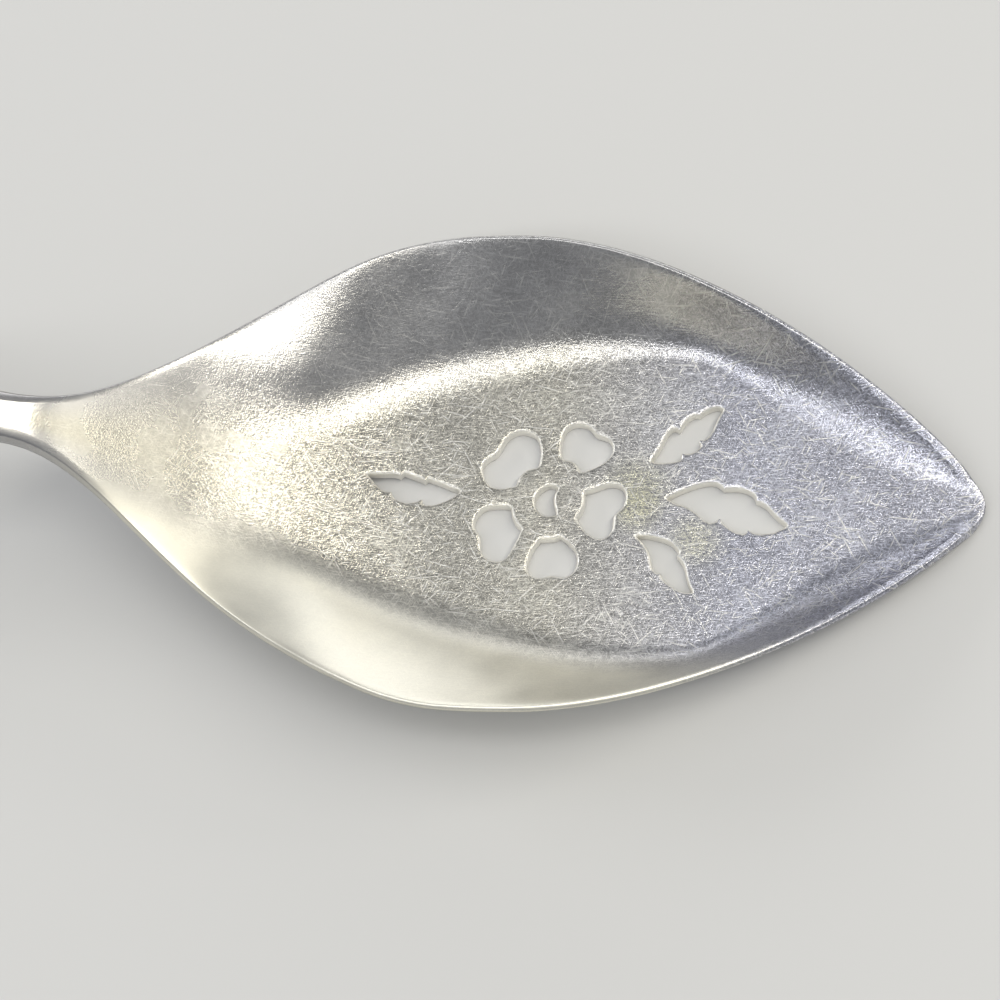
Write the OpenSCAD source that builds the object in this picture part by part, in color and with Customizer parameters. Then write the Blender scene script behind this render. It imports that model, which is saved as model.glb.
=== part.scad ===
// Pie server: a pierced, dished leaf blade on a cranked shank, held by a waisted tang and cement
// in a hollow handle of two brazed half shells.
// Millimetres. X runs from the handle to the tip, Z up from the table, Y = 0 is the mid plane.
// Distances along the blade are measured from the tip, along the metal.

/* [Blade] */
// Tip to the widest place
front_l = 54; // [48:1:60]
// Widest place to the end of the taper on the shank
heel_l = 64.5; // [60:0.5:72]
// Width at the widest place
blade_w = 60; // [54:1:66]
// Thickness of the blade metal
blade_t = 1.5; // [1.2:0.1:2]
// Rise of the side edges over the floor at the widest place
dish_h = 9.7; // [6:0.1:11]
// Share of the half width that is flat floor
floor_share = 0.55; // [0.45:0.05:0.65]
// Rounding of the tip
tip_round = 3.9; // [2.5:0.1:6]

/* [Crank and shank] */
// Tip to the start of the bend up to the shank
floor_l = 62.4; // [57:0.1:68]
// Radius of the bend up from the floor
heel_bend_r = 53.4; // [46:0.2:58]
// Slope of the crank
crank_angle = 36.9; // [34:0.1:40]
// Radius of the bend down to the handle
top_bend_r = 28.3; // [22:0.1:32]
// Width of the shank at its narrowest
shank_w = 5.8; // [5.2:0.1:7.5]
// Thickness of the shank at its narrowest
shank_t = 4.4; // [3.4:0.1:5.5]

/* [Pierced flower] */
// Tip to the middle of the flower
flower_from_tip = 51; // [48:0.5:53]
// Depth of a petal from its inner edge to its lobes
petal_l = 5.2; // [4.2:0.1:5.8]
// Radius of the round hole in the middle
eye_r = 1.9; // [1.4:0.1:2.2]
// Share of a leaf's width that a notch cuts away
notch_depth = 0.3; // [0.1:0.05:0.4]

/* [Handle] */
// Length of the hollow handle
handle_l = 116; // [104:1:124]
// Width near the butt
handle_w = 21; // [18:0.5:25]
// Thickness near the butt
handle_t = 14.5; // [13:0.5:17]
// Width at the mouth, where the bolster seats
mouth_w = 11.6; // [10.6:0.1:13]
// Length of the rounded butt
butt_l = 13; // [9:0.5:18]
// Wall of each half shell
shell_t = 0.9; // [0.6:0.1:1.1]
// Fall of the handle from the bolster to the butt
handle_angle = 10; // [8.5:0.1:11]

/* [Bolster and tang] */
// Length of the collar on the bolster
collar_l = 3; // [2:0.1:5]
// Step of the collar over the mouth of the handle
collar_step = 0.5; // [0.2:0.1:1]
// Length of the tang
tang_l = 44; // [36:1:56]
// Width of the tang
tang_w = 6; // [5:0.1:6.6]
// Thickness of the tang
tang_t = 3; // [2.4:0.1:3.4]
// Width of the waists that key the tang in the cement
key_w = 3; // [2:0.1:4]
// Depth of those waists on each side
key_d = 1.2; // [0.8:0.1:1.6]
// Cement past the end of the tang
cement_past = 5; // [3:0.5:10]
// Gap round the cement
cement_gap = 0.05; // [0.03:0.01:0.1]

/* [Hidden] */
$fn = 64;

// Length of the tip on which the dish fades out, and how far past the start and the end of the heel bend
// it starts and ends fading on the way to the shank
tip_fade = 3;
fade_lead = 12;
fade_tail = 9;

// Thin lead on the crank before the metal thickens, least length of the flare
thick_lead = 10;
flare_min = 8;

// Powers that set how full the outline and the dish are
front_power = 1.82;
heel_power = 1.35;
dish_power = 1.1;
flank_power = 1.8;
leaf_power = 0.9;

// Petals: direction, radius of the inner edge, width
petals = [[130, 4.0, 7.9], [60, 5.1, 6.2], [-10, 4.2, 7.1], [-87, 4.6, 6.5], [213, 4.6, 6.6]];
// Leaves: stem end, tip end, width, bow of the rib, places of the notches along the rib
leaves = [
    [[-10.1, 0.6], [-22.1, 1.9], 3.8, 0.5, [0.4, 0.67]],
    [[13.8, 0.9], [28.6, -2.0], 5.1, 0.7, [0.4, 0.68]],
    [[11.7, 5.3], [20.5, 12.5], 3.9, -0.2, [0.4, 0.67]],
    [[10.5, -4.0], [17.6, -11.1], 4.1, 0.4, [0.53]],
];

// Sizes that follow from those above
blade_end = front_l + heel_l;
bolster_w = mouth_w - 1.2;
handle_ratio = handle_t / handle_w;
bore_ratio = (handle_t - 2 * shell_t) / (handle_w - 2 * shell_t);

// Half height and half length of the butt when it is tilted by the handle angle
butt_low = sqrt((butt_l * sin(handle_angle))^2 + (handle_t / 2 * cos(handle_angle))^2);
butt_back = sqrt((butt_l * cos(handle_angle))^2 + (handle_t / 2 * sin(handle_angle))^2);

// Height of the shank's end that lets the butt touch the table, and the straight of the crank that gives it
grip_l = collar_l + handle_l - butt_l;
joint_z = grip_l * sin(handle_angle) + butt_low;
bends_z = heel_bend_r * (1 - cos(crank_angle)) + top_bend_r * (cos(handle_angle) - cos(crank_angle));
crank_l = (joint_z - blade_t / 2 - bends_z) / sin(crank_angle);

// Ends of the parts of the centre line, along the metal
heel_end = floor_l + heel_bend_r * crank_angle * PI / 180;
crank_end = heel_end + crank_l;
shank_end = crank_end + top_bend_r * (crank_angle + handle_angle) * PI / 180;
thick_start = heel_end + thick_lead;
flare_start = min(blade_end, shank_end - flare_min);

// Horizontal distance from the tip to the shank's end, and the length of the whole
bends_x = heel_bend_r * sin(crank_angle) + top_bend_r * (sin(crank_angle) + sin(handle_angle));
joint_x = floor_l + bends_x + crank_l * cos(crank_angle);
overall_l = joint_x + grip_l * cos(handle_angle) + butt_back;
tip_x = overall_l / 2;

function share(v, a, b) = min(1, max(0, (v - a) / (b - a)));
function ease(v) = v * v * (3 - 2 * v);

// Centre line: distance from the tip, height over the floor and slope at a distance s along the metal
function heel_turn(s) = share(s, floor_l, heel_end) * crank_angle;
function top_turn(s) = share(s, crank_end, shank_end) * (crank_angle + handle_angle);
function slope(s) = heel_turn(s) - top_turn(s);
function run(s) = min(s, floor_l) + heel_bend_r * sin(heel_turn(s))
    + share(s, heel_end, crank_end) * crank_l * cos(crank_angle)
    + top_bend_r * (sin(crank_angle) - sin(crank_angle - top_turn(s)))
    + max(0, s - shank_end) * cos(handle_angle);
function rise(s) = heel_bend_r * (1 - cos(heel_turn(s)))
    + share(s, heel_end, crank_end) * crank_l * sin(crank_angle)
    + top_bend_r * (cos(crank_angle - top_turn(s)) - cos(crank_angle))
    - max(0, s - shank_end) * sin(handle_angle);

// Half width of the outline: a full curve to the rounded tip, an S curve to the shank, a flare to the bolster
function tip_run(s) = sqrt((s + tip_round)^2 - tip_round^2);
function front_half(s) = blade_w / 2 * (1 - max(0, 1 - tip_run(s) / tip_run(front_l))^front_power);
function heel_half(s) = shank_w / 2
    + (blade_w - shank_w) / 4 * (1 + cos(180 * share(s, front_l, blade_end)^heel_power));
function flare(s) = ease(share(s, flare_start, shank_end));
function half_w(s) = s < front_l ? front_half(s) : heel_half(s) + flare(s) * (bolster_w - shank_w) / 2;

// Half thickness of the metal
function half_t(s) = blade_t / 2 + ease(share(s, thick_start, shank_end)) * (shank_t - blade_t) / 2
    + flare(s) * (bolster_w * handle_ratio - shank_t) / 2;

// Rise of the side edges, in proportion to the width that is left; it fades out at the tip and on the crank
function width_left(s) = s < front_l ? front_half(s)
    : heel_half(s) - share(s, front_l, blade_end) * shank_w / 2;
function dish(s) = dish_h * max(0, 2 * width_left(s) / blade_w)^dish_power
    * share(s, 0, tip_fade) * (1 - ease(share(s, floor_l + fade_lead, heel_end + fade_tail)));
function flank(t) = max(0, (abs(t) - floor_share) / (1 - floor_share));

// A station of the forging: distance along the metal, half width, half thickness, rise of the edges
function station(s) = [s, half_w(s), half_t(s), dish(s)];

// Section at a station: the middle of the sheet at t from -1 to 1 across it, its tilt there, its skin
function middle(q, t) = [(q[1] - q[2]) * t, q[3] * flank(t)^flank_power];
function tilt(q, t) = sign(t) * atan(q[3] * flank_power * flank(t)^(flank_power - 1)
    / (1 - floor_share) / (q[1] - q[2]));
function skin(q, t, a) = middle(q, t) + q[2] * [cos(tilt(q, t) + a), sin(tilt(q, t) + a)];

// A point of a section put in its place along the centre line
function place(s, p) = [
    tip_x - run(s) + p[1] * sin(slope(s)),
    p[0],
    blade_t / 2 + rise(s) + p[1] * cos(slope(s))
];

// Places across the section: the flat floor in a few steps, each flank in more
flank_steps = 7;
floor_steps = 4;
edge_steps = 6;
flank_ts = [for (i = [0 : flank_steps - 1]) floor_share + (1 - floor_share) * (1 - (i / flank_steps)^1.2)];
floor_ts = [for (i = [0 : floor_steps]) floor_share * (2 * i / floor_steps - 1)];
across = concat(
    [for (t = flank_ts) -t],
    floor_ts,
    [for (i = [flank_steps - 1 : -1 : 0]) flank_ts[i]]
);

function section(q) = concat(
    [for (t = across) skin(q, t, 90)],
    [for (k = [1 : edge_steps - 1]) skin(q, 1, 90 - 180 * k / edge_steps)],
    [for (i = [len(across) - 1 : -1 : 0]) skin(q, across[i], -90)],
    [for (k = [1 : edge_steps - 1]) skin(q, -1, -90 - 180 * k / edge_steps)]
);

// Stations of the blade and shank: close together at the tip and in the heel
tip_s = 0.2 * blade_t;
tip_rows_l = 6;
blade_rows = [for (s = concat(
    [for (i = [0 : 6]) tip_s + (tip_rows_l - tip_s) * (i / 7)^1.6],
    [for (i = [0 : 12]) tip_rows_l + (front_l - tip_rows_l) * i / 13],
    [for (i = [0 : 23]) front_l + (flare_start - front_l) * i / 24],
    [for (i = [0 : 7]) flare_start + (shank_end - flare_start) * i / 8]
)) station(s)];

// Stations of the collar that closes the mouth of the handle, with soft edges
collar_half = [mouth_w / 2 + collar_step, mouth_w / 2 * handle_ratio + collar_step];
soft = collar_l / 4;
collar_rows = [for (c = [
    [0, soft],
    [soft * 0.3, soft * 0.3],
    [soft, 0],
    [collar_l - soft, 0],
    [collar_l - soft * 0.3, soft * 0.3],
    [collar_l, soft]
]) [shank_end + c[0], collar_half[0] - c[1], collar_half[1] - c[1], 0]];

// Stations of the tang, which is waisted at each key
function tang_row(d, in) = [shank_end + collar_l + d, tang_w / 2 - in, tang_t / 2 - in / 4, 0];
tang_rows = concat(
    [tang_row(0, 0)],
    [for (i = [1 : 3]) let (d = tang_l * i / 4) each [
        tang_row(d - key_w / 2, 0),
        tang_row(d - key_w / 2, key_d),
        tang_row(d + key_w / 2, key_d),
        tang_row(d + key_w / 2, 0)
    ]],
    [tang_row(tang_l, 0)]
);

// Skin over rings of points that follow each other, closed at both ends on a middle point.
// Rings run clockwise as seen from the front end.
module loft(rings, ends) {
    n = len(rings[0]);
    last = len(rings) - 1;
    points = concat(ends, [for (ring = rings) each ring]);
    sides = [for (i = [0 : last - 1], j = [0 : n - 1])
        let (a = 2 + i * n + j, b = 2 + i * n + (j + 1) % n)
        each [[a, a + n, b], [b, a + n, b + n]]];
    front = [for (j = [0 : n - 1]) [0, 2 + j, 2 + (j + 1) % n]];
    back = [for (j = [0 : n - 1]) [1, 2 + last * n + (j + 1) % n, 2 + last * n + j]];
    polyhedron(points = points, faces = concat(front, sides, back), convexity = 10);
}

// Half the edge of a petal: along its hollow inner edge, then round one lobe to the dip between the lobes
function petal_edge(inner_r, lobe_r, lobe, neck_a, dip_a) = concat(
    [for (k = [1 : 4]) inner_r * [cos(neck_a * k / 4), sin(neck_a * k / 4)]],
    [for (k = [0 : 11]) let (a = 120 - (120 + dip_a) * k / 12) lobe + lobe_r * [cos(a), sin(a)]]
);

// Two round lobes on a body that narrows to a hollow inner edge
module petal(inner_r, w) {
    lobe_r = 0.28 * w;
    lobe = [inner_r + petal_l - lobe_r, w / 2 - lobe_r];
    neck_a = asin(0.22 * w / inner_r);
    dip_a = asin(lobe[1] / lobe_r);
    edge = petal_edge(inner_r, lobe_r, lobe, neck_a, dip_a);
    polygon(concat(
        [[inner_r, 0]],
        edge,
        [[lobe[0] + lobe_r * cos(dip_a), 0]],
        [for (i = [len(edge) - 1 : -1 : 0]) [edge[i][0], -edge[i][1]]]
    ));
}

// One edge of a leaf from the stem to the tip, in scallops that step in at each notch
function leaf_edge(w, cuts, l, bow) = let (ends = concat([0], cuts, [1])) [
    for (j = [0 : len(ends) - 2], k = [0 : 5])
        let (v = ends[j] + (ends[j + 1] - ends[j]) * (j > 0 ? max(k, 0.3) : k) / 5)
        let (cut = j > 0 ? notch_depth * (1 - k / 5)^2 : 0)
        if ((j > 0 || k > 0) && v < 1)
            [l * v, bow * sin(180 * v) + w / 2 * sin(180 * v)^leaf_power * (1 - cut)]
];

module leaf(stem, tip, w, bow, cuts) {
    way = tip - stem;
    l = norm(way);
    upper = leaf_edge(w, cuts, l, bow);
    lower = leaf_edge(-w, cuts, l, bow);
    translate(stem) rotate(atan2(way[1], way[0])) polygon(concat(
        [[0, 0]],
        upper,
        [[l, 0]],
        [for (i = [len(lower) - 1 : -1 : 0]) lower[i]]
    ));
}

// Everything that is punched through the floor
module piercing() {
    translate([tip_x - flower_from_tip, 0, -1]) {
        for (p = petals)
            rotate(p[0]) linear_extrude(blade_t + 4) petal(p[1], p[2]);
        for (q = leaves)
            linear_extrude(blade_t + 4) leaf(q[0], q[1], q[2], q[3], q[4]);
        linear_extrude(blade_t + 4) difference() {
            circle(eye_r);
            translate([eye_r * 1.2, -eye_r * 0.24]) circle(eye_r);
        }
    }
}

// Frame of the handle: origin at the shank's end, handle running back along -X
module on_handle() {
    translate([tip_x - joint_x, 0, joint_z]) rotate([0, -handle_angle, 0]) children();
}

// Turned solid along -X, flattened to an oval
module oval(profile, ratio) {
    scale([1, 1, ratio]) rotate([0, -90, 0]) rotate_extrude() polygon(profile);
}

// Handle outline, or its bore when drawn in by a wall
function grip_r(v) = mouth_w / 2 + (handle_w - mouth_w) / 2 * ease(v);
function bore_r(d) = grip_r((d - collar_l) / (handle_l - butt_l)) - shell_t;
function grip_profile(inset) = concat(
    [[0, collar_l]],
    [for (i = [0 : 24]) [grip_r(i / 24) - inset, collar_l + (handle_l - butt_l) * i / 24]],
    [for (a = [9 : 9 : 81]) [(handle_w / 2 - inset) * cos(a), grip_l + (butt_l - inset) * sin(a)]],
    [[0, grip_l + butt_l - inset]]
);

module handle_shell(upper) {
    half_h = handle_t;
    on_handle() difference() {
        oval(grip_profile(0), handle_ratio);
        oval(grip_profile(shell_t), bore_ratio);
        translate([-collar_l - handle_l - 1, -handle_w, upper ? -2 * half_h : 0])
            cube([handle_l + 2, 2 * handle_w, 2 * half_h]);
    }
}

// Blade, shank, bolster and tang in one forging, with the flower punched through the floor
module blade() {
    rows = concat(blade_rows, collar_rows, tang_rows);
    end = rows[len(rows) - 1][0];
    color([0.72, 0.72, 0.73]) difference() {
        loft([for (q = rows) [for (p = section(q)) place(q[0], p)]], [place(0, [0, 0]), place(end, [0, 0])]);
        piercing();
    }
}

module handle_top_shell() {
    color([0.75, 0.75, 0.76]) handle_shell(true);
}

module handle_bottom_shell() {
    color([0.68, 0.68, 0.7]) handle_shell(false);
}

// Room for the tang in the cement: the bar and its keys, grown by the gap
module tang_room() {
    y = tang_w / 2 + cement_gap;
    edge = concat(
        [[0, y]],
        [for (i = [1 : 3]) let (x = -collar_l - tang_l * i / 4, w = key_w / 2 - cement_gap)
            each [[x + w, y], [x + w, y - key_d], [x - w, y - key_d], [x - w, y]]],
        [[-collar_l - tang_l - cement_gap, y]]
    );
    translate([0, 0, -tang_t / 2 - cement_gap]) linear_extrude(tang_t + 2 * cement_gap)
        polygon(concat(edge, [for (i = [len(edge) - 1 : -1 : 0]) [edge[i][0], -edge[i][1]]]));
}

// Cement cast round the tang in the front of the bore
module tang_cement() {
    d0 = collar_l + cement_gap;
    d1 = collar_l + tang_l + cement_past;
    rings = [for (i = [0 : 14]) let (d = d0 + (d1 - d0) * i / 14, r = bore_r(d) - cement_gap)
        [for (j = [0 : 31]) [-d, r * cos(j * 11.25), -r * bore_ratio * sin(j * 11.25)]]];
    color([0.45, 0.42, 0.38]) on_handle() difference() {
        loft(rings, [[-d0, 0, 0], [-d1, 0, 0]]);
        tang_room();
    }
}

blade();
handle_top_shell();
handle_bottom_shell();
tang_cement();
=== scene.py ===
"""Pie server: pierced leaf blade on a cranked shank, in a hollow handle of two half shells."""
import math

import bmesh
import bpy
from mathutils import Matrix, Vector
from mathutils.geometry import interpolate_bezier


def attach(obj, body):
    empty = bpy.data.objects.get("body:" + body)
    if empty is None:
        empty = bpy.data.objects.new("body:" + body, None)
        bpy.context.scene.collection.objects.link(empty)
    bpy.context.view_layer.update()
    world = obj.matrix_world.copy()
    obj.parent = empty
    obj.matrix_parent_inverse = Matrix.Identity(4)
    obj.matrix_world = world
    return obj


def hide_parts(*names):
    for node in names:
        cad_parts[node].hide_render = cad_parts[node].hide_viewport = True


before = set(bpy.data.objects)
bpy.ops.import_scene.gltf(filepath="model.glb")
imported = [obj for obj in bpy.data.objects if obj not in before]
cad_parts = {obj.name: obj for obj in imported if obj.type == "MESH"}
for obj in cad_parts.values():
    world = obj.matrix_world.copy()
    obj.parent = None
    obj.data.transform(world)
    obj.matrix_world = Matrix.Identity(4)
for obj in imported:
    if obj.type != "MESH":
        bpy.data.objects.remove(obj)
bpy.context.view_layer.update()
MM = 0.001

# Sizes of the forging in millimetres, the same as in the part's source
FRONT_L, HEEL_L, BLADE_W, BLADE_T = 54.0, 64.5, 60.0, 1.5
DISH_H, TIP_ROUND = 9.7, 3.9
FLOOR_L, HEEL_BEND_R, CRANK_ANGLE, TOP_BEND_R = 62.4, 53.4, math.radians(36.9), 28.3
SHANK_W, SHANK_T = 5.8, 4.4
FLOWER_FROM_TIP = 51.0
HANDLE_L, HANDLE_W, HANDLE_T, MOUTH_W = 116.0, 21.0, 14.5, 11.6
BUTT_L, HANDLE_ANGLE = 13.0, math.radians(10.0)
COLLAR_L, COLLAR_STEP = 3.0, 0.5
BOLSTER_STEP = 1.2
TANG_L, TANG_W, TANG_T, KEY_W, KEY_D = 44.0, 6.0, 3.0, 3.0, 1.2
FRONT_POWER, HEEL_POWER, DISH_POWER = 1.82, 1.35, 1.1
TIP_FADE, FADE_LEAD, FADE_TAIL = 3.0, 12.0, 9.0
THICK_LEAD, FLARE_MIN = 10.0, 8.0

# Folds between the floor and the flanks, in millimetres from the tip: where they start in the heel,
# where they are furthest apart and where they end
FOLD_START, FOLD_LAST, FOLD_END = 92.0, 34.0, 6.0
# Share of the width between them in the heel, where they are furthest apart and at the tip
FLOOR_LEAST, FLOOR_MOST, FLOOR_TIP = 0.04, 0.72, 0.3
FLOOR_POWER = 0.8
# Share of a flank that the round of its fold takes up beside the flower, and where the round grows
# to the whole flank: in the heel and in the front
FOLD_ROUND = 0.42
HEEL_SOFT, FRONT_SOFT = (80.0, 100.0), (68.0, 6.0)
# Where the front's wear gives way to the flanks' satin
SATIN_FROM, SATIN_TO = 10.0, 42.0

# Scoured patches on the floor: place from the flower's middle and size, in millimetres
SCOURED = [(10.3, 1.6, 4.2), (10.0, -1.2, 3.2), (17.2, -4.9, 3.6)]

# Holes of the flower in millimetres from its middle, x towards the tip. Each is a ring of strokes:
# a stroke is smooth, and the hole has a corner where one stroke ends and the next one starts.
PETALS = [
    [[(-1.75, 4.1), (-1.5, 5.2), (-1.55, 6.6), (-2.0, 7.9), (-2.9, 8.45), (-4.0, 8.6),
      (-5.0, 8.2), (-5.7, 7.4), (-6.2, 6.4), (-6.7, 5.6), (-7.6, 5.0), (-8.25, 4.2), (-8.2, 3.3),
      (-7.9, 2.3), (-7.2, 1.5), (-5.8, 1.3), (-4.3, 1.7)],
     [(-4.3, 1.7), (-3.95, 2.8), (-3.1, 3.7), (-1.75, 4.1)]],
    [[(1.15, 5.15), (1.0, 6.2), (1.05, 7.6), (1.4, 8.8), (2.2, 9.5), (3.2, 9.65), (4.1, 9.4),
      (4.7, 8.8), (5.1, 8.3), (5.7, 8.1), (6.5, 7.8), (7.0, 7.1), (7.05, 6.2), (6.6, 5.3),
      (5.8, 4.6), (4.7, 4.0), (3.35, 3.5)],
     [(3.35, 3.5), (3.1, 4.2), (2.4, 4.9), (1.15, 5.15)]],
    [[(3.1, -2.35), (3.9, -3.7), (4.6, -4.4), (5.4, -4.85), (6.2, -4.9), (6.9, -4.45),
      (7.3, -3.6), (7.35, -2.7), (7.5, -1.9), (8.1, -1.2), (8.6, -0.5), (8.8, 0.4), (8.6, 1.3),
      (8.0, 1.85), (7.0, 2.0), (6.0, 1.7), (5.0, 1.3), (4.0, 1.0)],
     [(4.0, 1.0), (4.0, -0.3), (3.7, -1.5), (3.1, -2.35)]],
    [[(-1.15, -5.2), (-1.7, -6.0), (-2.2, -7.1), (-2.5, -8.2), (-2.45, -9.1), (-1.9, -9.75),
      (-1.2, -9.95), (-0.4, -9.8), (0.4, -9.6), (1.2, -9.75), (2.1, -9.75), (2.8, -9.3),
      (3.2, -8.5), (3.3, -7.5), (3.0, -6.5), (2.2, -5.5), (1.25, -4.75)],
     [(1.25, -4.75), (0.6, -5.05), (-0.3, -5.15), (-1.15, -5.2)]],
    [[(-4.75, -1.1), (-5.7, -1.0), (-6.9, -1.05), (-8.0, -1.4), (-8.75, -2.3), (-9.0, -3.3),
      (-8.7, -4.1), (-8.25, -4.8), (-8.1, -5.7), (-8.0, -6.7), (-7.4, -7.6), (-6.4, -7.95),
      (-5.5, -7.8), (-4.9, -7.2), (-4.3, -6.0), (-3.8, -4.9), (-3.4, -3.9)],
     [(-3.4, -3.9), (-4.1, -3.2), (-4.55, -2.3), (-4.75, -1.1)]],
]
LEAVES = [
    [[(-10.9, 0.9), (-12.0, 1.25), (-13.2, 1.75), (-14.75, 2.3)], [(-14.75, 2.3), (-15.1, 2.0)],
     [(-15.1, 2.0), (-16.0, 2.35), (-17.6, 2.9)], [(-17.6, 2.9), (-18.0, 2.5)],
     [(-18.0, 2.5), (-19.0, 2.65), (-20.5, 2.5), (-22.1, 2.45)],
     [(-22.1, 2.45), (-21.5, 1.85), (-20.9, 1.1), (-20.2, 0.6), (-19.1, 0.4)],
     [(-19.1, 0.4), (-18.7, -0.3), (-18.0, -0.7), (-17.0, -0.8), (-15.4, -0.35)],
     [(-15.4, -0.35), (-15.2, -0.8), (-14.8, -1.0), (-14.0, -0.95), (-12.9, -0.55), (-11.7, 0.1),
      (-10.9, 0.9)]],
    [[(27.9, -2.9), (26.9, -2.1), (26.1, -1.3), (25.4, -0.5), (24.2, 0.15)],
     [(24.2, 0.15), (24.0, 0.8), (23.2, 1.4), (22.0, 1.65), (20.4, 1.6)],
     [(20.4, 1.6), (19.9, 2.05), (19.2, 2.35), (18.2, 2.3), (16.8, 1.9), (15.4, 1.25),
      (13.65, 0.4)],
     [(13.65, 0.4), (14.6, -0.2), (15.8, -0.55), (16.8, -1.1), (17.7, -1.85), (18.5, -2.55),
      (19.1, -2.6), (20.0, -2.15)],
     [(20.0, -2.15), (20.6, -2.85), (21.5, -3.55), (22.4, -3.95), (22.9, -3.95), (23.3, -3.55)],
     [(23.3, -3.55), (24.2, -3.85), (25.2, -3.95), (26.4, -3.75), (27.9, -2.9)]],
    [[(20.1, 11.9), (19.5, 12.1), (18.7, 11.9), (18.0, 11.5), (17.4, 11.0)],
     [(17.4, 11.0), (16.7, 11.0), (16.0, 10.5), (15.5, 9.8), (15.0, 9.05)],
     [(15.0, 9.05), (14.4, 9.3), (13.85, 8.95), (13.4, 8.2), (12.9, 7.0), (12.3, 5.9), (11.7, 5.0)],
     [(11.7, 5.0), (12.6, 4.85), (13.7, 4.9), (14.7, 5.1), (15.2, 5.5), (15.3, 6.05)],
     [(15.3, 6.05), (16.3, 6.2), (17.1, 6.6), (17.5, 7.1), (17.3, 7.75)],
     [(17.3, 7.75), (18.1, 8.1), (18.7, 8.8), (19.1, 9.8), (19.6, 11.0), (20.1, 11.9)]],
    [[(17.0, -11.5), (16.6, -10.8), (16.25, -9.8), (16.0, -8.6), (15.6, -7.7), (15.05, -6.95)],
     [(15.05, -6.95), (15.2, -6.4), (14.7, -5.7), (14.0, -5.15), (12.8, -4.75), (11.5, -4.5),
      (10.2, -4.5)],
     [(10.2, -4.5), (10.9, -5.2), (11.5, -6.0), (11.9, -6.9), (12.15, -8.0), (12.4, -8.85),
      (13.2, -9.2)],
     [(13.2, -9.2), (13.6, -9.85), (14.3, -10.6), (15.2, -11.2), (16.1, -11.5), (17.0, -11.5)]],
]
EYE = [[(0.75, 1.45), (0.0, 1.75), (-0.9, 1.4), (-1.6, 0.7), (-1.9, -0.2), (-1.75, -1.1),
        (-1.2, -1.8), (-0.4, -2.15), (0.65, -1.95)],
       [(0.65, -1.95), (0.45, -1.1), (0.25, -0.2), (0.35, 0.7), (0.75, 1.45)]]

# What follows from those sizes
BLADE_END = FRONT_L + HEEL_L
BOLSTER_W = MOUTH_W - BOLSTER_STEP
HANDLE_RATIO = HANDLE_T / HANDLE_W
BUTT_LOW = math.hypot(BUTT_L * math.sin(HANDLE_ANGLE), HANDLE_T / 2 * math.cos(HANDLE_ANGLE))
BUTT_BACK = math.hypot(BUTT_L * math.cos(HANDLE_ANGLE), HANDLE_T / 2 * math.sin(HANDLE_ANGLE))
GRIP_L = COLLAR_L + HANDLE_L - BUTT_L
JOINT_Z = GRIP_L * math.sin(HANDLE_ANGLE) + BUTT_LOW
BENDS_Z = (HEEL_BEND_R * (1 - math.cos(CRANK_ANGLE))
           + TOP_BEND_R * (math.cos(HANDLE_ANGLE) - math.cos(CRANK_ANGLE)))
CRANK_L = (JOINT_Z - BLADE_T / 2 - BENDS_Z) / math.sin(CRANK_ANGLE)
HEEL_END = FLOOR_L + HEEL_BEND_R * CRANK_ANGLE
THICK_START = HEEL_END + THICK_LEAD
CRANK_END = HEEL_END + CRANK_L
SHANK_END = CRANK_END + TOP_BEND_R * (CRANK_ANGLE + HANDLE_ANGLE)
FLARE_START = min(BLADE_END, SHANK_END - FLARE_MIN)
BENDS_X = (HEEL_BEND_R * math.sin(CRANK_ANGLE)
           + TOP_BEND_R * (math.sin(CRANK_ANGLE) + math.sin(HANDLE_ANGLE)))
JOINT_X = FLOOR_L + BENDS_X + CRANK_L * math.cos(CRANK_ANGLE)
TIP_X = (JOINT_X + GRIP_L * math.cos(HANDLE_ANGLE) + BUTT_BACK) / 2


def share(v, a, b):
    return min(1.0, max(0.0, (v - a) / (b - a)))


def ease(v):
    return v * v * (3 - 2 * v)


# Centre line of the forging at s millimetres from the tip, along the metal
def heel_turn(s):
    return share(s, FLOOR_L, HEEL_END) * CRANK_ANGLE


def top_turn(s):
    return share(s, CRANK_END, SHANK_END) * (CRANK_ANGLE + HANDLE_ANGLE)


def slope(s):
    return heel_turn(s) - top_turn(s)


def run(s):
    return (min(s, FLOOR_L) + HEEL_BEND_R * math.sin(heel_turn(s))
            + share(s, HEEL_END, CRANK_END) * CRANK_L * math.cos(CRANK_ANGLE)
            + TOP_BEND_R * (math.sin(CRANK_ANGLE) - math.sin(CRANK_ANGLE - top_turn(s)))
            + max(0.0, s - SHANK_END) * math.cos(HANDLE_ANGLE))


def rise(s):
    return (HEEL_BEND_R * (1 - math.cos(heel_turn(s)))
            + share(s, HEEL_END, CRANK_END) * CRANK_L * math.sin(CRANK_ANGLE)
            + TOP_BEND_R * (math.cos(CRANK_ANGLE - top_turn(s)) - math.cos(CRANK_ANGLE))
            - max(0.0, s - SHANK_END) * math.sin(HANDLE_ANGLE))


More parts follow.
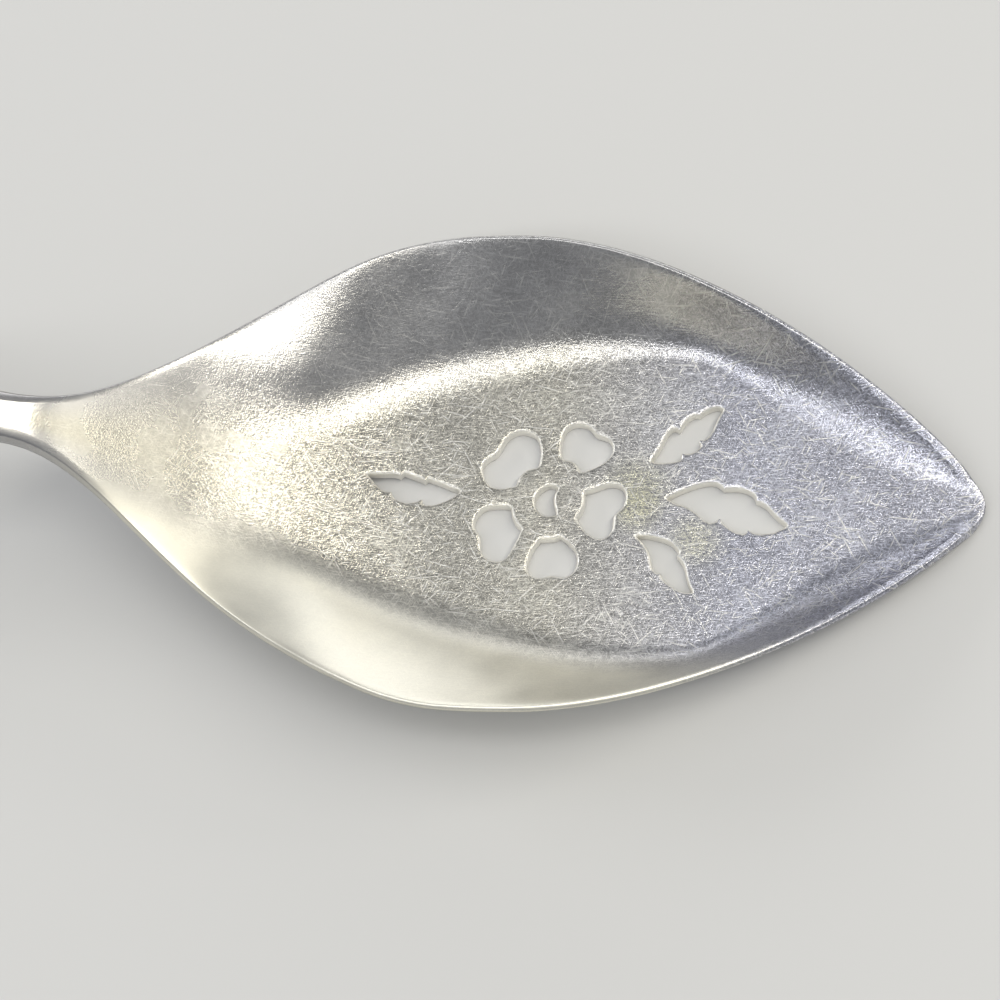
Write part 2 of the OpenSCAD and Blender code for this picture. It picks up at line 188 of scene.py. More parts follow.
# Half width and half thickness past the end of the shank: the collar with soft edges, then the
# waisted tang
SOFT = COLLAR_L / 4
COLLAR_HALF = (MOUTH_W / 2 + COLLAR_STEP, MOUTH_W / 2 * HANDLE_RATIO + COLLAR_STEP)
STEP = 0.02
PAST_SHANK = [(d, COLLAR_HALF[0] - c, COLLAR_HALF[1] - c) for d, c in (
    (STEP, SOFT), (SOFT * 0.3, SOFT * 0.3), (SOFT, 0), (COLLAR_L - SOFT, 0),
    (COLLAR_L - SOFT * 0.3, SOFT * 0.3), (COLLAR_L, SOFT))]
PAST_SHANK.append((COLLAR_L + STEP, TANG_W / 2, TANG_T / 2))
for key in (1, 2, 3):
    middle_d = COLLAR_L + TANG_L * key / 4
    for d, cut in ((-KEY_W / 2, 0), (-KEY_W / 2 + STEP, KEY_D),
                   (KEY_W / 2, KEY_D), (KEY_W / 2 + STEP, 0)):
        PAST_SHANK.append((middle_d + d, TANG_W / 2 - cut, TANG_T / 2 - cut / 4))
PAST_SHANK.append((COLLAR_L + TANG_L, TANG_W / 2, TANG_T / 2))


def past_shank(s, column):
    for a, b in zip(PAST_SHANK, PAST_SHANK[1:]):
        if s - SHANK_END <= b[0]:
            return a[column] + (b[column] - a[column]) * share(s - SHANK_END, a[0], b[0])
    return PAST_SHANK[-1][column]


def tip_run(s):
    return math.sqrt((s + TIP_ROUND) ** 2 - TIP_ROUND ** 2)


def front_half(s):
    return BLADE_W / 2 * (1 - max(0.0, 1 - tip_run(s) / tip_run(FRONT_L)) ** FRONT_POWER)


def heel_half(s):
    return SHANK_W / 2 + (BLADE_W - SHANK_W) / 4 * (
        1 + math.cos(math.pi * share(s, FRONT_L, BLADE_END) ** HEEL_POWER))


def flare(s):
    return ease(share(s, FLARE_START, SHANK_END))


def half_w(s):
    if s > SHANK_END:
        return past_shank(s, 1)
    if s < FRONT_L:
        return front_half(s)
    return heel_half(s) + flare(s) * (BOLSTER_W - SHANK_W) / 2


def half_t(s):
    if s > SHANK_END:
        return past_shank(s, 2)
    return (BLADE_T / 2 + ease(share(s, THICK_START, SHANK_END)) * (SHANK_T - BLADE_T) / 2
            + flare(s) * (BOLSTER_W * HANDLE_RATIO - SHANK_T) / 2)


def dish(s):
    left = heel_half(s) - share(s, FRONT_L, BLADE_END) * SHANK_W / 2
    if s < FRONT_L:
        left = front_half(s)
    fade = share(s, 0, TIP_FADE) * (1 - ease(share(s, FLOOR_L + FADE_LEAD, HEEL_END + FADE_TAIL)))
    return DISH_H * max(0.0, 2 * left / BLADE_W) ** DISH_POWER * fade


def floor_share(s):
    """Share of the width that is flat floor: the two folds spread from the heel towards the tip."""
    if s < FOLD_LAST:
        return FLOOR_MOST - (FLOOR_MOST - FLOOR_TIP) * ease(share(s, FOLD_LAST, FOLD_END))
    return FLOOR_LEAST + (FLOOR_MOST - FLOOR_LEAST) * share(s, FOLD_START, FOLD_LAST) ** FLOOR_POWER


def fold_round(s):
    """Share of a flank that the round of its fold takes up: all in the heel and at the tip."""
    soft = max(ease(share(s, *FRONT_SOFT)), ease(share(s, *HEEL_SOFT)))
    return FOLD_ROUND + (1 - FOLD_ROUND) * soft


def satin_left(s):
    """How much of the flanks' satin is left: all of it beside the flower, nothing at the tip."""
    return ease(share(s, SATIN_FROM, SATIN_TO))


def room_for(s):
    """Half width of the mid surface, without the round of the edge."""
    return max(half_w(s) - half_t(s), ROOM_LEAST)


def up_flank(s, w):
    """How far up its flank a point w from the middle is: 0 on the floor, 1 at the edge."""
    return max(0.0, (min(1.0, abs(w) / room_for(s)) - 1) / (1 - floor_share(s)) + 1)


def forged(s, w, out, up):
    """A point of the flat sheet, s from the tip and w from the middle, where the forging has it.
    out is its way past the sheet's edge, towards the tip and sideways; up is its way from the
    mid surface."""
    wide = (1 - floor_share(s)) * room_for(s)
    flank = up_flank(s, w)
    bend = fold_round(s)
    bent = min(flank, bend)
    steep = dish(s) / (1 - bend / 2)
    lift = steep * (bent * bent / bend / 2 + flank - bent)
    tilt = math.copysign(math.atan(steep * bent / bend / wide), w)
    across = w + out[1] * math.cos(tilt) - up * math.sin(tilt)
    high = lift + out[1] * math.sin(tilt) + up * math.cos(tilt)
    a = slope(s)
    return Vector((TIP_X - run(s) + high * math.sin(a) + out[0] * math.cos(a), across,
                   BLADE_T / 2 + rise(s) + high * math.cos(a) - out[0] * math.sin(a))) * MM


def hole_edge(strokes):
    """Points along the edge of a hole, each with the way into the metal and the share of the rim's
    round that fits there: all of it, but less where the metal runs out into a thin spike."""
    points = []
    for stroke in strokes:
        knots = [Vector(p) for p in stroke]
        for i in range(len(knots) - 1):
            a, b = knots[i], knots[i + 1]
            lead_in = (b - knots[max(0, i - 1)]) / (6 if i else 3)
            lead_out = (knots[min(len(knots) - 1, i + 2)] - a) / (6 if i + 2 < len(knots) else 3)
            steps = max(2, round((b - a).length / EDGE_STEP)) + 1
            points += interpolate_bezier(a, a + lead_in, b - lead_out, b, steps)[:-1]
    area = sum(points[k - 1].cross(points[k]) for k in range(len(points)))
    edge = []
    for k, p in enumerate(points):
        along = (points[(k + 1) % len(points)] - p).normalized() + (p - points[k - 1]).normalized()
        metal = Vector((along.y, -along.x)).normalized() * math.copysign(1, area)
        room = min(((q - p).length_squared / 2 / (q - p).dot(metal) for q in points
                    if (q - p).dot(metal) > TINY), default=ROLL_R)
        edge.append((p, metal, min(1.0, ROLL_FIT * room / ROLL_R)))
    return edge


# Stations along the metal where the sheet has its rows, closest at the tip
TIP_ROWS_L, TIP_POWER = 6.0, 1.6
TIP_ROWS, FRONT_ROWS, HEEL_ROWS, FLARE_ROWS = 12, 44, 64, 16
ROWS = [TIP_ROWS_L * (i / TIP_ROWS) ** TIP_POWER for i in range(TIP_ROWS)]
ROWS += [TIP_ROWS_L + (FRONT_L - TIP_ROWS_L) * i / FRONT_ROWS for i in range(FRONT_ROWS)]
ROWS += [FRONT_L + (FLARE_START - FRONT_L) * i / HEEL_ROWS for i in range(HEEL_ROWS)]
ROWS += [FLARE_START + (SHANK_END - FLARE_START) * i / FLARE_ROWS for i in range(FLARE_ROWS + 1)]
ROWS += [SHANK_END + p[0] for p in PAST_SHANK]
# Columns across the floor and each flank, and the part of the length where the holes' fill replaces
# the floor's cells
FLOOR_COLUMNS, FLANK_COLUMNS = 14, 20
FILL_FROM, FILL_TO = 19.0, 77.0
# The punch rolls the rim of each hole over in a round of this radius, or where the metal is a thin
# spike, of this share of what fits. Below, the roll is this share of the one above.
ROLL_R, ROLL_FIT, ROLL_BELOW = 0.5, 0.8, 0.5
ROLL_STEPS = 4
# Distance of the points along the edge of a hole
EDGE_STEP = 0.28
# The blade's own edge is square with rounded corners: 1 would be a half circle, 0 sharp corners
EDGE_ROUND = 0.4
# The underside is ground off towards the edge, from this share of the half width, and this length
# in the front, until this share of the thickness is left. The thin edge then reaches out as far as
# the full one would.
GRIND_FROM, GRIND_TIP, EDGE_LEFT, EDGE_REACH = 0.84, 2.5, 0.56, 0.6
# Cuts that make the edge's round, and the least length that counts in the mesh
EDGE_CUTS = 5
TINY = 0.001
# Thickness of the blank, whose heights from -1 to 1 stand for shares of the half thickness
BLANK_T = 2.0
# Step along the metal for the lean of the outline, and least half width of the mid surface
NEAR = 0.01
ROOM_LEAST = 0.01
# Slack in telling the floor's cells from the flanks', as a share of the half width
SLACK = 0.005


def flat_sheet():
    """The blank: a flat sheet with the flower punched out. Layers keep the way that its edges bulge
    out and how far the punch rolls each rim down."""
    bm = bmesh.new()
    out_x = bm.verts.layers.float.new("out_x")
    out_y = bm.verts.layers.float.new("out_y")
    drop = bm.verts.layers.float.new("drop")
    place = bm.verts.layers.int.new("place")
    columns = FLOOR_COLUMNS + 2 * FLANK_COLUMNS
    bmesh.ops.create_grid(bm, x_segments=len(ROWS) - 1, y_segments=columns, size=1.0)
    low = min(v.co.x for v in bm.verts)
    for v in bm.verts:
        i = round((v.co.x / low + 1) / 2 * (len(ROWS) - 1))
        j = round(-v.co.y / low / 2 * columns)
        s = ROWS[i]
        t = floor_share(s) * min(1.0, 2 * abs(j) / FLOOR_COLUMNS)
        t += (1 - floor_share(s)) * max(0.0, (abs(j) - FLOOR_COLUMNS / 2) / FLANK_COLUMNS)
        t = math.copysign(t, j)
        thick = half_t(s)
        lean = math.pi / 2 if s == 0 else 0.0
        if 0 < s < FRONT_L:
            lean = math.atan((half_w(s + NEAR) - half_w(max(0.0, s - NEAR))) / (2 * NEAR))
        v.co = (-s - thick * math.sin(lean), t * (half_w(s) - thick * math.cos(lean)), 0.0)
        if abs(j) == columns / 2 or i == 0:
            v[out_x] = math.sin(lean)
            v[out_y] = math.copysign(math.cos(lean), t)
    bmesh.ops.remove_doubles(bm, verts=bm.verts, dist=TINY)
    cells = [f for f in bm.faces if FILL_FROM < -f.calc_center_median().x < FILL_TO and all(
        abs(v.co.y) < (floor_share(-v.co.x) + SLACK) * room_for(-v.co.x) for v in f.verts)]
    bmesh.ops.delete(bm, geom=cells, context="FACES")
    edge_of_fill = [e for e in bm.edges if e.is_boundary and -e.verts[0].co.x < SHANK_END
                    and not any(v[out_y] or v[out_x] for v in e.verts)]
    for strokes in [*PETALS, *LEAVES, EYE]:
        edge = hole_edge(strokes)
        ring = []
        for k, (p, metal, fits) in enumerate(edge):
            outer = p + metal * fits * ROLL_R
            ring.append(bm.verts.new((outer.x - FLOWER_FROM_TIP, outer.y, 0.0)))
            ring[k][place] = k
        edges = [bm.edges.new((ring[k - 1], ring[k])) for k in range(len(ring))]
        edge_of_fill += edges
        for step in range(1, ROLL_STEPS + 1):
            turn = math.pi / 2 * step / ROLL_STEPS
            made = bmesh.ops.extrude_edge_only(bm, edges=edges)["geom"]
            edges = [e for e in made if isinstance(e, bmesh.types.BMEdge) and e.is_boundary]
            for v in {v for e in edges for v in e.verts}:
                p, metal, fits = edge[v[place]]
                there = p + metal * fits * ROLL_R * (1 - math.sin(turn))
                v.co = (there.x - FLOWER_FROM_TIP, there.y, 0.0)
                v[drop] = fits * ROLL_R * (1 - math.cos(turn))
    fill = bmesh.ops.triangle_fill(
        bm, use_beauty=True, use_dissolve=False, edges=edge_of_fill, normal=(0, 0, 1))
    floor = [f for f in fill["geom"] if isinstance(f, bmesh.types.BMFace)]
    for s in ROWS:
        if FLOOR_L < s < FILL_TO:
            faces = [f for f in floor if f.is_valid]
            parts = dict.fromkeys(faces)
            parts.update(dict.fromkeys(e for f in faces for e in f.edges))
            parts.update(dict.fromkeys(v for f in faces for v in f.verts))
            cut = bmesh.ops.bisect_plane(
                bm, geom=list(parts), plane_co=(-s, 0, 0), plane_no=(1, 0, 0), dist=TINY)
            floor = [f for f in cut["geom"] if isinstance(f, bmesh.types.BMFace)]
    bmesh.ops.recalc_face_normals(bm, faces=bm.faces)
    if sum(f.normal.z * f.calc_area() for f in bm.faces) < 0:
        bmesh.ops.reverse_faces(bm, faces=bm.faces)
    return bm


def make_blade():
    """The blank made solid, its edge ground and rounded, then bent into the dish and the crank."""
    bm = flat_sheet()
    out_x = bm.verts.layers.float["out_x"]
    out_y = bm.verts.layers.float["out_y"]
    drop = bm.verts.layers.float["drop"]
    flank = bm.verts.layers.float.new("flank")
    bmesh.ops.solidify(bm, geom=bm.faces[:], thickness=BLANK_T)
    heights = [v.co.z for v in bm.verts]
    centre = (min(heights) + max(heights)) / 2
    bmesh.ops.translate(bm, verts=bm.verts, vec=(0, 0, -centre))
    sides = [e for e in bm.edges if abs(e.verts[0].co.z - e.verts[1].co.z) > BLANK_T / 2
             and math.hypot(e.verts[0][out_x], e.verts[0][out_y]) > TINY]
    bmesh.ops.subdivide_edges(bm, edges=sides, cuts=EDGE_CUTS, use_grid_fill=True)
    for v in bm.verts:
        s, w, level = -v.co.x, v.co.y, max(-1.0, min(1.0, v.co.z))
        thick = half_t(s)
        turn = level * math.pi / 2
        round_edge = EDGE_ROUND + (1 - EDGE_ROUND) * ease(share(s, THICK_START, SHANK_END))
        way = Vector((v[out_x], v[out_y]))
        ground = max(share(abs(w) / room_for(s), GRIND_FROM, 1), share(s, GRIND_TIP, 0))
        ground = ease(ground) * (1 - EDGE_LEFT) * (1 - ease(share(s, HEEL_END, BLADE_END)))
        out = way.normalized() * thick * math.cos(turn) ** round_edge if way.length > TINY else way
        out *= 1 + EDGE_REACH * ground
        up = math.copysign(abs(math.sin(turn)) ** round_edge, turn)
        up = thick * (up + ground * (1 - up))
        up -= math.copysign(v[drop] * (1 if level > 0 else ROLL_BELOW), level)
        v[flank] = ease(min(1.0, up_flank(s, w) / fold_round(s))) * satin_left(s)
        v.co = forged(s, w, out, up)
    for f in bm.faces:
        f.smooth = True
    mesh = bpy.data.meshes.new("pierced_blade")
    bm.to_mesh(mesh)
    bm.free()
    blade = bpy.data.objects.new("pierced_blade", mesh)
    bpy.context.scene.collection.objects.link(blade)
    blade.modifiers.new("rims", "WEIGHTED_NORMAL").weight = 50
    return blade


def linear(hex_colour):
    """An sRGB hex colour as linear RGBA."""
    parts = [int(hex_colour[i:i + 2], 16) / 255 for i in (1, 3, 5)]
    return [c / 12.92 if c <= 0.04045 else ((c + 0.055) / 1.055) ** 2.4 for c in parts] + [1.0]


def node(tree, kind, inputs, out=0, **settings):
    """Adds a node with its settings and gives its output, by name or number. An input, by name or
    number too, takes a value or the socket that feeds it."""
    made = tree.nodes.new(kind)
    for name, value in settings.items():
        setattr(made, name, value)
    for socket, value in inputs.items():
        if isinstance(value, bpy.types.NodeSocket):
            tree.links.new(value, made.inputs[socket])
        else:
            made.inputs[socket].default_value = value
    return made.outputs[out]


def scratches(tree, place, spacing, gap, reach, turns):
    """Straight scratches in several directions: each cell of a stretched pattern has one, round its
    own middle. Spacing along the scratch and gap across it in millimetres; reach is the longest
    scratch's share of its cell."""
    marks = None
    for turn in turns:
        cells = node(tree, "ShaderNodeMapping", {
            "Vector": place, "Rotation": (0, 0, math.radians(turn)),
            "Scale": (spacing * MM, gap * MM, 1.0),
        }, vector_type="TEXTURE")
        pattern = {"Vector": cells, "Scale": 1.0}
        away = node(tree, "ShaderNodeTexVoronoi", pattern, out="Distance", voronoi_dimensions="2D")
        chance = away.node.outputs["Color"]
        end = node(tree, "ShaderNodeMath", {0: chance, 1: reach}, operation="MULTIPLY")
        layer = node(tree, "ShaderNodeMapRange", {
            "Value": away, "From Min": end, "From Max": 0.0})
        marks = layer if marks is None else node(
            tree, "ShaderNodeMath", {0: marks, 1: layer}, operation="MAXIMUM")
    return marks


def worn_stainless():
    """Stainless steel, stamped and polished, then worn by years of knives, crusts and scouring. The
    floor is dulled grey by countless short strokes, bright against dark partly as painted glints
    and shade, with a painted reflection tint, warm towards the heel and cool towards the tip. The
    flanks, which nothing rubs on, keep a smooth satin; on one side it is painted paler as a
    reflection. A few patches have been scoured to a yellowish sheen, and the rolled rims of the
    holes are painted bright as a highlight."""
    mat = bpy.data.materials.new("stamped_stainless_worn_polish")
    mat.use_nodes = True
    tree = mat.node_tree
    shader = tree.nodes["Principled BSDF"]
    shader.inputs["Metallic"].default_value = 1.0
    place = node(tree, "ShaderNodeTexCoord", {}, out="Object")
    along = node(tree, "ShaderNodeSeparateXYZ", {0: place}, out="X")
    across = node(tree, "ShaderNodeSeparateXYZ", {0: place}, out="Y")
    flower_x = (TIP_X - FLOWER_FROM_TIP) * MM
    tip_share = node(tree, "ShaderNodeMapRange", {
        "Value": along, "From Min": flower_x, "From Max": flower_x + 22 * MM})
    flank = node(tree, "ShaderNodeAttribute", {}, attribute_name="flank", out="Fac")
    # Side of the flanks where a paler satin is painted on as a reflection
    sheen_side_across = node(tree, "ShaderNodeMapRange", {
        "Value": across, "From Min": -3 * MM, "From Max": -9 * MM})
    painted_sheen_side = node(tree, "ShaderNodeMath", {0: flank, 1: sheen_side_across}, operation="MULTIPLY")
    # Rolled rims of the holes, painted near white as a highlight
    rolled = node(tree, "ShaderNodeAttribute", {}, attribute_name="drop", out="Fac")
    rim = node(tree, "ShaderNodeMapRange", {"Value": rolled, "From Min": 0.01, "From Max": 0.12})

    # Strokes of the scouring pad and the knife, 0.13 mm wide and 0.8 to 1.6 mm long: real ones are
    # finer, but these show
    strokes = None
    height = node(tree, "ShaderNodeTexNoise", {
        "Vector": place, "Scale": 1 / (0.3 * MM), "Detail": 1.0})
    for turn, length in ((21, 0.8), (73, 0.8), (128, 0.8), (-3, 1.6)):
        lay = node(tree, "ShaderNodeMapping", {
            "Vector": place, "Rotation": (0, 0, math.radians(turn)),
            "Scale": (length * MM, 0.13 * MM, 0.5 * MM),
        }, vector_type="TEXTURE")
        layer = node(tree, "ShaderNodeTexNoise", {"Vector": lay, "Scale": 1.0, "Detail": 1.0})
        height = node(tree, "ShaderNodeMath", {0: height, 1: layer}, operation="ADD")
        strokes = layer if strokes is None else node(
            tree, "ShaderNodeMath", {0: strokes, 1: layer}, operation="MAXIMUM")
    worn = node(tree, "ShaderNodeMapRange", {
        "Value": flank, "To Min": 1.0, "To Max": 0.4})
    worn = node(tree, "ShaderNodeMath", {0: painted_sheen_side, 1: -0.32, 2: worn}, operation="MULTIPLY_ADD")
    reached = node(tree, "ShaderNodeMapRange", {
        "Value": along, "From Min": flower_x - 50 * MM, "From Max": flower_x - 26 * MM,
        "To Min": 0.2})
    worn = node(tree, "ShaderNodeMath", {0: worn, 1: reached}, operation="MULTIPLY")

    # Single scratches that stand out, about 0.12 mm wide, painted lighter as a glint on fresh metal
    short = scratches(tree, place, 6.5, 0.6, 0.19, (12, 66, 141))
    long = scratches(tree, place, 24.0, 0.9, 0.13, (-16, -5, 7, 44, 118))
    marks = node(tree, "ShaderNodeMath", {0: short, 1: long}, operation="MAXIMUM")
    marks = node(tree, "ShaderNodeMath", {0: marks, 1: worn}, operation="MULTIPLY")

    # Cloudy dulling in patches of 8 mm under the strokes
    clouds = node(tree, "ShaderNodeTexNoise", {
        "Vector": place, "Scale": 1 / (8 * MM), "Detail": 3.0})
    # Painted reflection tint along the blade: warm towards the heel, cool lavender towards the tip
    dull_and_reflected_tint = node(tree, "ShaderNodeMix", {
        0: tip_share, 6: linear("#BDBAB0"), 7: linear("#B8B9C3")}, data_type="RGBA", out=2)
    # Flanks' satin, painted paler on one side as a reflection
    satin = node(tree, "ShaderNodeMix", {
        0: painted_sheen_side, 6: linear("#B4B3B2"), 7: linear("#E4E1D4")}, data_type="RGBA", out=2)
    tone = node(tree, "ShaderNodeMix", {0: flank, 6: dull_and_reflected_tint, 7: satin}, data_type="RGBA", out=2)
    cloudy = node(tree, "ShaderNodeMapRange", {
        "Value": clouds, "From Min": 0.3, "From Max": 0.7, "To Min": 0.92, "To Max": 1.08})
    tone = node(tree, "ShaderNodeMix", {
        0: 1.0, 6: tone, 7: cloudy}, data_type="RGBA", blend_type="MULTIPLY", out=2)
    # Strokes painted lighter and darker: worn metal, with painted glints and shade on their bumps
    contrast = node(tree, "ShaderNodeMapRange", {
        "Value": strokes, "From Min": 0.5, "From Max": 0.78, "To Min": 0.5, "To Max": 1.7})
    tone = node(tree, "ShaderNodeMix", {
        0: worn, 6: tone, 7: contrast}, data_type="RGBA", blend_type="MULTIPLY", out=2)
    hatch = node(tree, "ShaderNodeMapRange", {"Value": strokes, "From Min": 0.52, "From Max": 0.66})
    for x, y, size in SCOURED:
        middle = (flower_x + x * MM, y * MM, BLADE_T * MM)
        away = node(tree, "ShaderNodeVectorMath", {
            0: place, 1: middle}, operation="DISTANCE", out="Value")
        ragged = node(tree, "ShaderNodeMath", {
            0: strokes, 1: -size * MM, 2: away}, operation="MULTIPLY_ADD")
        patch = node(tree, "ShaderNodeMapRange", {
            "Value": ragged, "From Min": size * MM * 0.5, "From Max": -size * MM * 0.3,
            "To Max": 0.6})
        patch = node(tree, "ShaderNodeMath", {0: patch, 1: hatch}, operation="MULTIPLY")
        tone = node(tree, "ShaderNodeMix", {
            0: patch, 6: tone, 7: linear("#DAD7B4")}, data_type="RGBA", out=2)
    # Scratches painted near white: fresh metal, and a painted glint
    colour = node(tree, "ShaderNodeMix", {
        0: marks, 6: tone, 7: linear("#F0EEE8")}, data_type="RGBA", out=2)
    # Painted highlight on the rolled rims
    colour = node(tree, "ShaderNodeMix", {
        0: rim, 6: colour, 7: linear("#F6F4EE")}, data_type="RGBA", out=2)
    tree.links.new(colour, shader.inputs["Base Color"])

    rough = node(tree, "ShaderNodeMapRange", {
        "Value": clouds, "From Min": 0.3, "From Max": 0.7, "To Min": 0.22, "To Max": 0.3})
    for share_of, more in ((marks, 0.15), (rim, 0.2), (painted_sheen_side, 0.14)):
        rough = node(tree, "ShaderNodeMath", {
            0: share_of, 1: more, 2: rough}, operation="MULTIPLY_ADD")
    tree.links.new(rough, shader.inputs["Roughness"])
    depth = node(tree, "ShaderNodeMath", {0: height, 1: worn}, operation="MULTIPLY")
    bump = node(tree, "ShaderNodeBump", {"Height": depth, "Strength": 1.0, "Distance": 0.03 * MM})
    tree.links.new(bump, shader.inputs["Normal"])
    return mat


def satin_stainless():
    """Stainless steel sheet, drawn into half shells and brushed lengthwise. Fine streaks along the
    handle blur the light into a long soft band, and hairline scratches and finger smudges cross
    it."""
    mat = bpy.data.materials.new("drawn_stainless_satin")
    mat.use_nodes = True
    tree = mat.node_tree
    shader = tree.nodes["Principled BSDF"]
    shader.inputs["Metallic"].default_value = 1.0
    place = node(tree, "ShaderNodeTexCoord", {}, out="Object")
    # Brush lines of 0.25 mm by 12 mm, coarser than the real grit so that they show
    lay = node(tree, "ShaderNodeMapping", {
        "Vector": place, "Rotation": (0, -HANDLE_ANGLE, 0),
        "Scale": (12 * MM, 0.25 * MM, 0.25 * MM),
    }, vector_type="TEXTURE")
    streaks = node(tree, "ShaderNodeTexNoise", {"Vector": lay, "Scale": 1.0, "Detail": 2.0})
    smudges = node(tree, "ShaderNodeTexNoise", {
        "Vector": place, "Scale": 1 / (11 * MM), "Detail": 2.0})
    # Hairline scratches of 0.2 mm by 5 mm from drawer and dishcloth, coarser than real ones, lie a
    # little across the brush lines
    lay = node(tree, "ShaderNodeMapping", {
        "Vector": place, "Rotation": (0.3, 0.1 - HANDLE_ANGLE, 0.2),
        "Scale": (5 * MM, 0.2 * MM, 0.2 * MM),
    }, vector_type="TEXTURE")
    hairlines = node(tree, "ShaderNodeTexNoise", {"Vector": lay, "Scale": 1.0, "Detail": 0.0})
    marks = node(tree, "ShaderNodeMapRange", {
        "Value": hairlines, "From Min": 0.68, "From Max": 0.8, "To Max": 0.6})
    tone = node(tree, "ShaderNodeMapRange", {
        "Value": streaks, "From Min": 0.3, "From Max": 0.7, "To Min": 0.0, "To Max": 1.0})
    colour = node(tree, "ShaderNodeMix", {
        0: tone, 6: linear("#B4B2AD"), 7: linear("#CFCDC8")}, data_type="RGBA", out=2)
    colour = node(tree, "ShaderNodeMix", {
        0: marks, 6: colour, 7: linear("#E4E2DC")}, data_type="RGBA", out=2)
    tree.links.new(colour, shader.inputs["Base Color"])
    rough = node(tree, "ShaderNodeMapRange", {
        "Value": smudges, "From Min": 0.3, "From Max": 0.7, "To Min": 0.24, "To Max": 0.38})
    rough = node(tree, "ShaderNodeMath", {0: marks, 1: 0.15, 2: rough}, operation="MULTIPLY_ADD")
    tree.links.new(rough, shader.inputs["Roughness"])
    bump = node(tree, "ShaderNodeBump", {
        "Height": streaks, "Strength": 0.4, "Distance": 0.008 * MM})
    tree.links.new(bump, shader.inputs["Normal"])
    return mat


def resin_cement():
    """Cutler's cement of resin and chalk, poured hot round the tang: dull, brownish, gritty."""
    mat = bpy.data.materials.new("poured_resin_cement")
    mat.use_nodes = True
    tree = mat.node_tree
    shader = tree.nodes["Principled BSDF"]
    place = node(tree, "ShaderNodeTexCoord", {}, out="Object")
    grit = node(tree, "ShaderNodeTexNoise", {
        "Vector": place, "Scale": 1 / (0.6 * MM), "Detail": 4.0})
    colour = node(tree, "ShaderNodeMix", {
        0: grit, 6: linear("#6E5F4E"), 7: linear("#A89C88")}, data_type="RGBA", out=2)
    tree.links.new(colour, shader.inputs["Base Color"])
    rough = node(tree, "ShaderNodeMapRange", {"Value": grit, "To Min": 0.6, "To Max": 0.9})
    tree.links.new(rough, shader.inputs["Roughness"])
    bump = node(tree, "ShaderNodeBump", {"Height": grit, "Strength": 0.5, "Distance": 0.1 * MM})
    tree.links.new(bump, shader.inputs["Normal"])
    return mat


blade = make_blade()
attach(blade, "root")
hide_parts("blade")
blade.data.materials.append(worn_stainless())
satin = satin_stainless()
cement = resin_cement()
for name, finish in (("handle_top_shell", satin), ("handle_bottom_shell", satin),
                     ("tang_cement", cement)):
    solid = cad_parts[name]
    solid.data.materials.clear()
    solid.data.materials.append(finish)

# Plain floor under it
FLOOR_HALF = 3.0
floor_mesh = bpy.data.meshes.new("floor")
bm = bmesh.new()
bmesh.ops.create_grid(bm, x_segments=1, y_segments=1, size=FLOOR_HALF)
bm.to_mesh(floor_mesh)
bm.free()
floor = bpy.data.objects.new("floor", floor_mesh)
bpy.context.scene.collection.objects.link(floor)
pale = bpy.data.materials.new("pale_floor")
pale.use_nodes = True
pale_shader = pale.node_tree.nodes["Principled BSDF"]
pale_shader.inputs["Base Color"].default_value = linear("#CACAC9")
pale_shader.inputs["Roughness"].default_value = 0.9
floor_mesh.materials.append(pale)

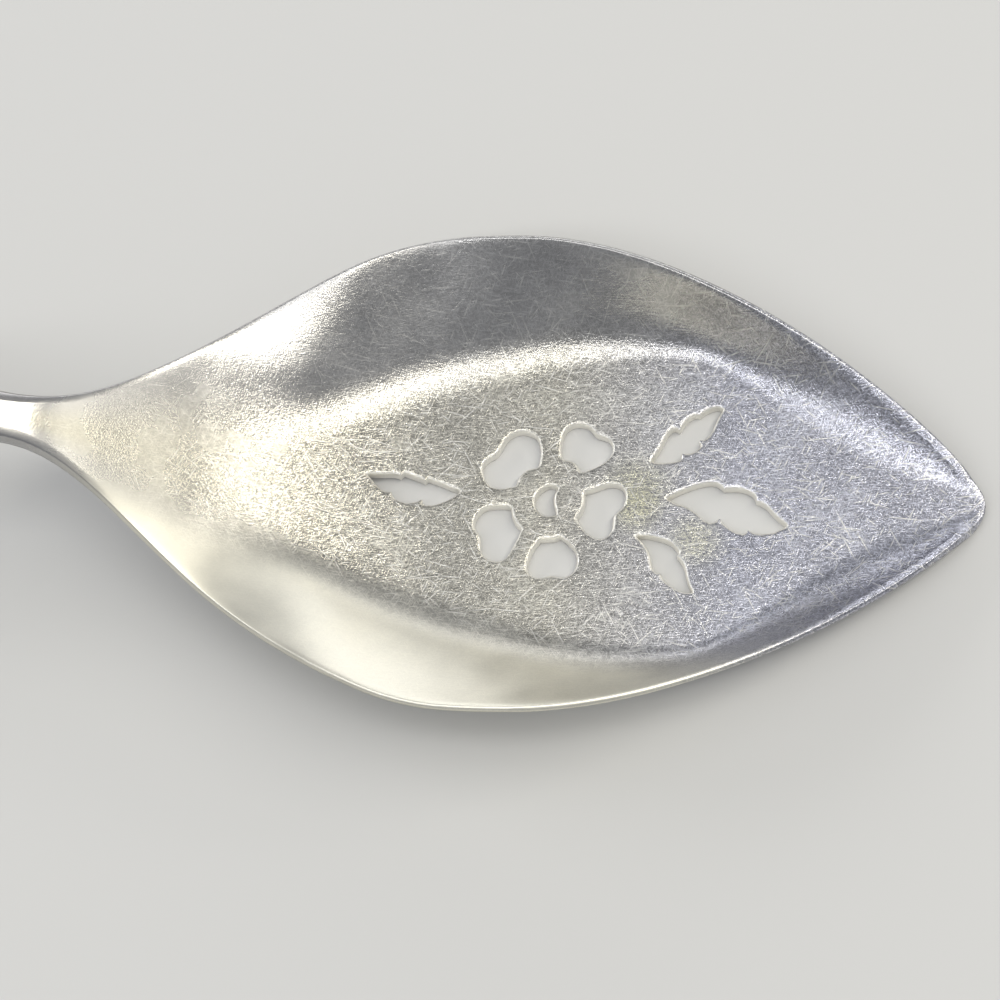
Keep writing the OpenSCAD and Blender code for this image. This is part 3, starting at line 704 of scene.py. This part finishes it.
# Camera at the photograph's viewing angle, turned a little about its axis. The middle of the
# picture is shifted by these pixels, right and up, from the place that it looks at.
LOOK_AT = Vector((TIP_X - 50, 0, 0.75)) * MM
TO_CAMERA = Vector((0.065, -0.40, 1.0)).normalized()
DISTANCE = 0.439
ROLL_ANGLE = math.radians(2.24)
FOCAL_PX, PICTURE_PX = 3700.0, 1000
SHIFT_PX = (-60.0, 1.3)
SENSOR = 36.0
level_side = Vector((0, 1, 0)).cross(TO_CAMERA).normalized()
level_up = TO_CAMERA.cross(level_side)
right = level_side * math.cos(ROLL_ANGLE) + level_up * math.sin(ROLL_ANGLE)
up = level_up * math.cos(ROLL_ANGLE) - level_side * math.sin(ROLL_ANGLE)
station = LOOK_AT + TO_CAMERA * DISTANCE
aim = LOOK_AT + (right * SHIFT_PX[0] + up * SHIFT_PX[1]) / FOCAL_PX * DISTANCE
back = (station - aim).normalized()
side = up.cross(back).normalized()
cam = bpy.data.cameras.new("camera")
cam.sensor_width = SENSOR
cam.lens = SENSOR * FOCAL_PX / PICTURE_PX
camera = bpy.data.objects.new("camera", cam)
turned = Matrix((side, back.cross(side), back)).transposed().to_4x4()
camera.matrix_world = Matrix.Translation(station) @ turned
bpy.context.scene.collection.objects.link(camera)
bpy.context.scene.camera = camera


def soft_box(name, where, size, watts, along=(1, 0, 0), colour="#FFFFFF"):
    """A soft box that faces the blade from a place in metres from it, its long side along a way."""
    lamp = bpy.data.lights.new(name, "AREA")
    lamp.shape = "RECTANGLE"
    lamp.size, lamp.size_y = size
    lamp.energy = watts
    lamp.color = linear(colour)[:3]
    box = bpy.data.objects.new(name, lamp)
    away = Vector(where).normalized()
    short = away.cross(Vector(along)).normalized()
    turned = Matrix((short.cross(away), short, away)).transposed().to_4x4()
    box.matrix_world = Matrix.Translation(LOOK_AT + Vector(where)) @ turned
    bpy.context.scene.collection.objects.link(box)


soft_box("heel_strip", (0.58, 0.10, 1.0), (1.4, 0.12), 6.4, along=(0.62, 0.78, 0), colour="#FFFAEC")
soft_box("front_strip", (-0.40, -0.52, 1.0), (1.1, 0.13), 3.0, along=(0.97, 0.22, 0))
soft_box("shank", (1.05, 0.45, 0.40), (0.3, 0.12), 0.8, colour="#FFFAEA")
soft_box("zenith", (0.0, -0.08, 1.3), (1.2, 0.3), 2.4)
soft_box("overhead", (-0.1, 0.67, 1.44), (1.3, 0.8), 1.4)
soft_box("left", (-0.95, 0.40, 0.40), (0.5, 0.35), 3.0, along=(0, 1, 0))
soft_box("low", (-0.1, 1.35, 0.25), (1.8, 0.35), 5.0)

world = bpy.data.worlds.new("studio")
bpy.context.scene.world = world
world.use_nodes = True
background = world.node_tree.nodes["Background"]
background.inputs["Color"].default_value = linear("#C4C6CA")
background.inputs["Strength"].default_value = 0.64
bpy.context.scene.view_settings.view_transform = "Standard"
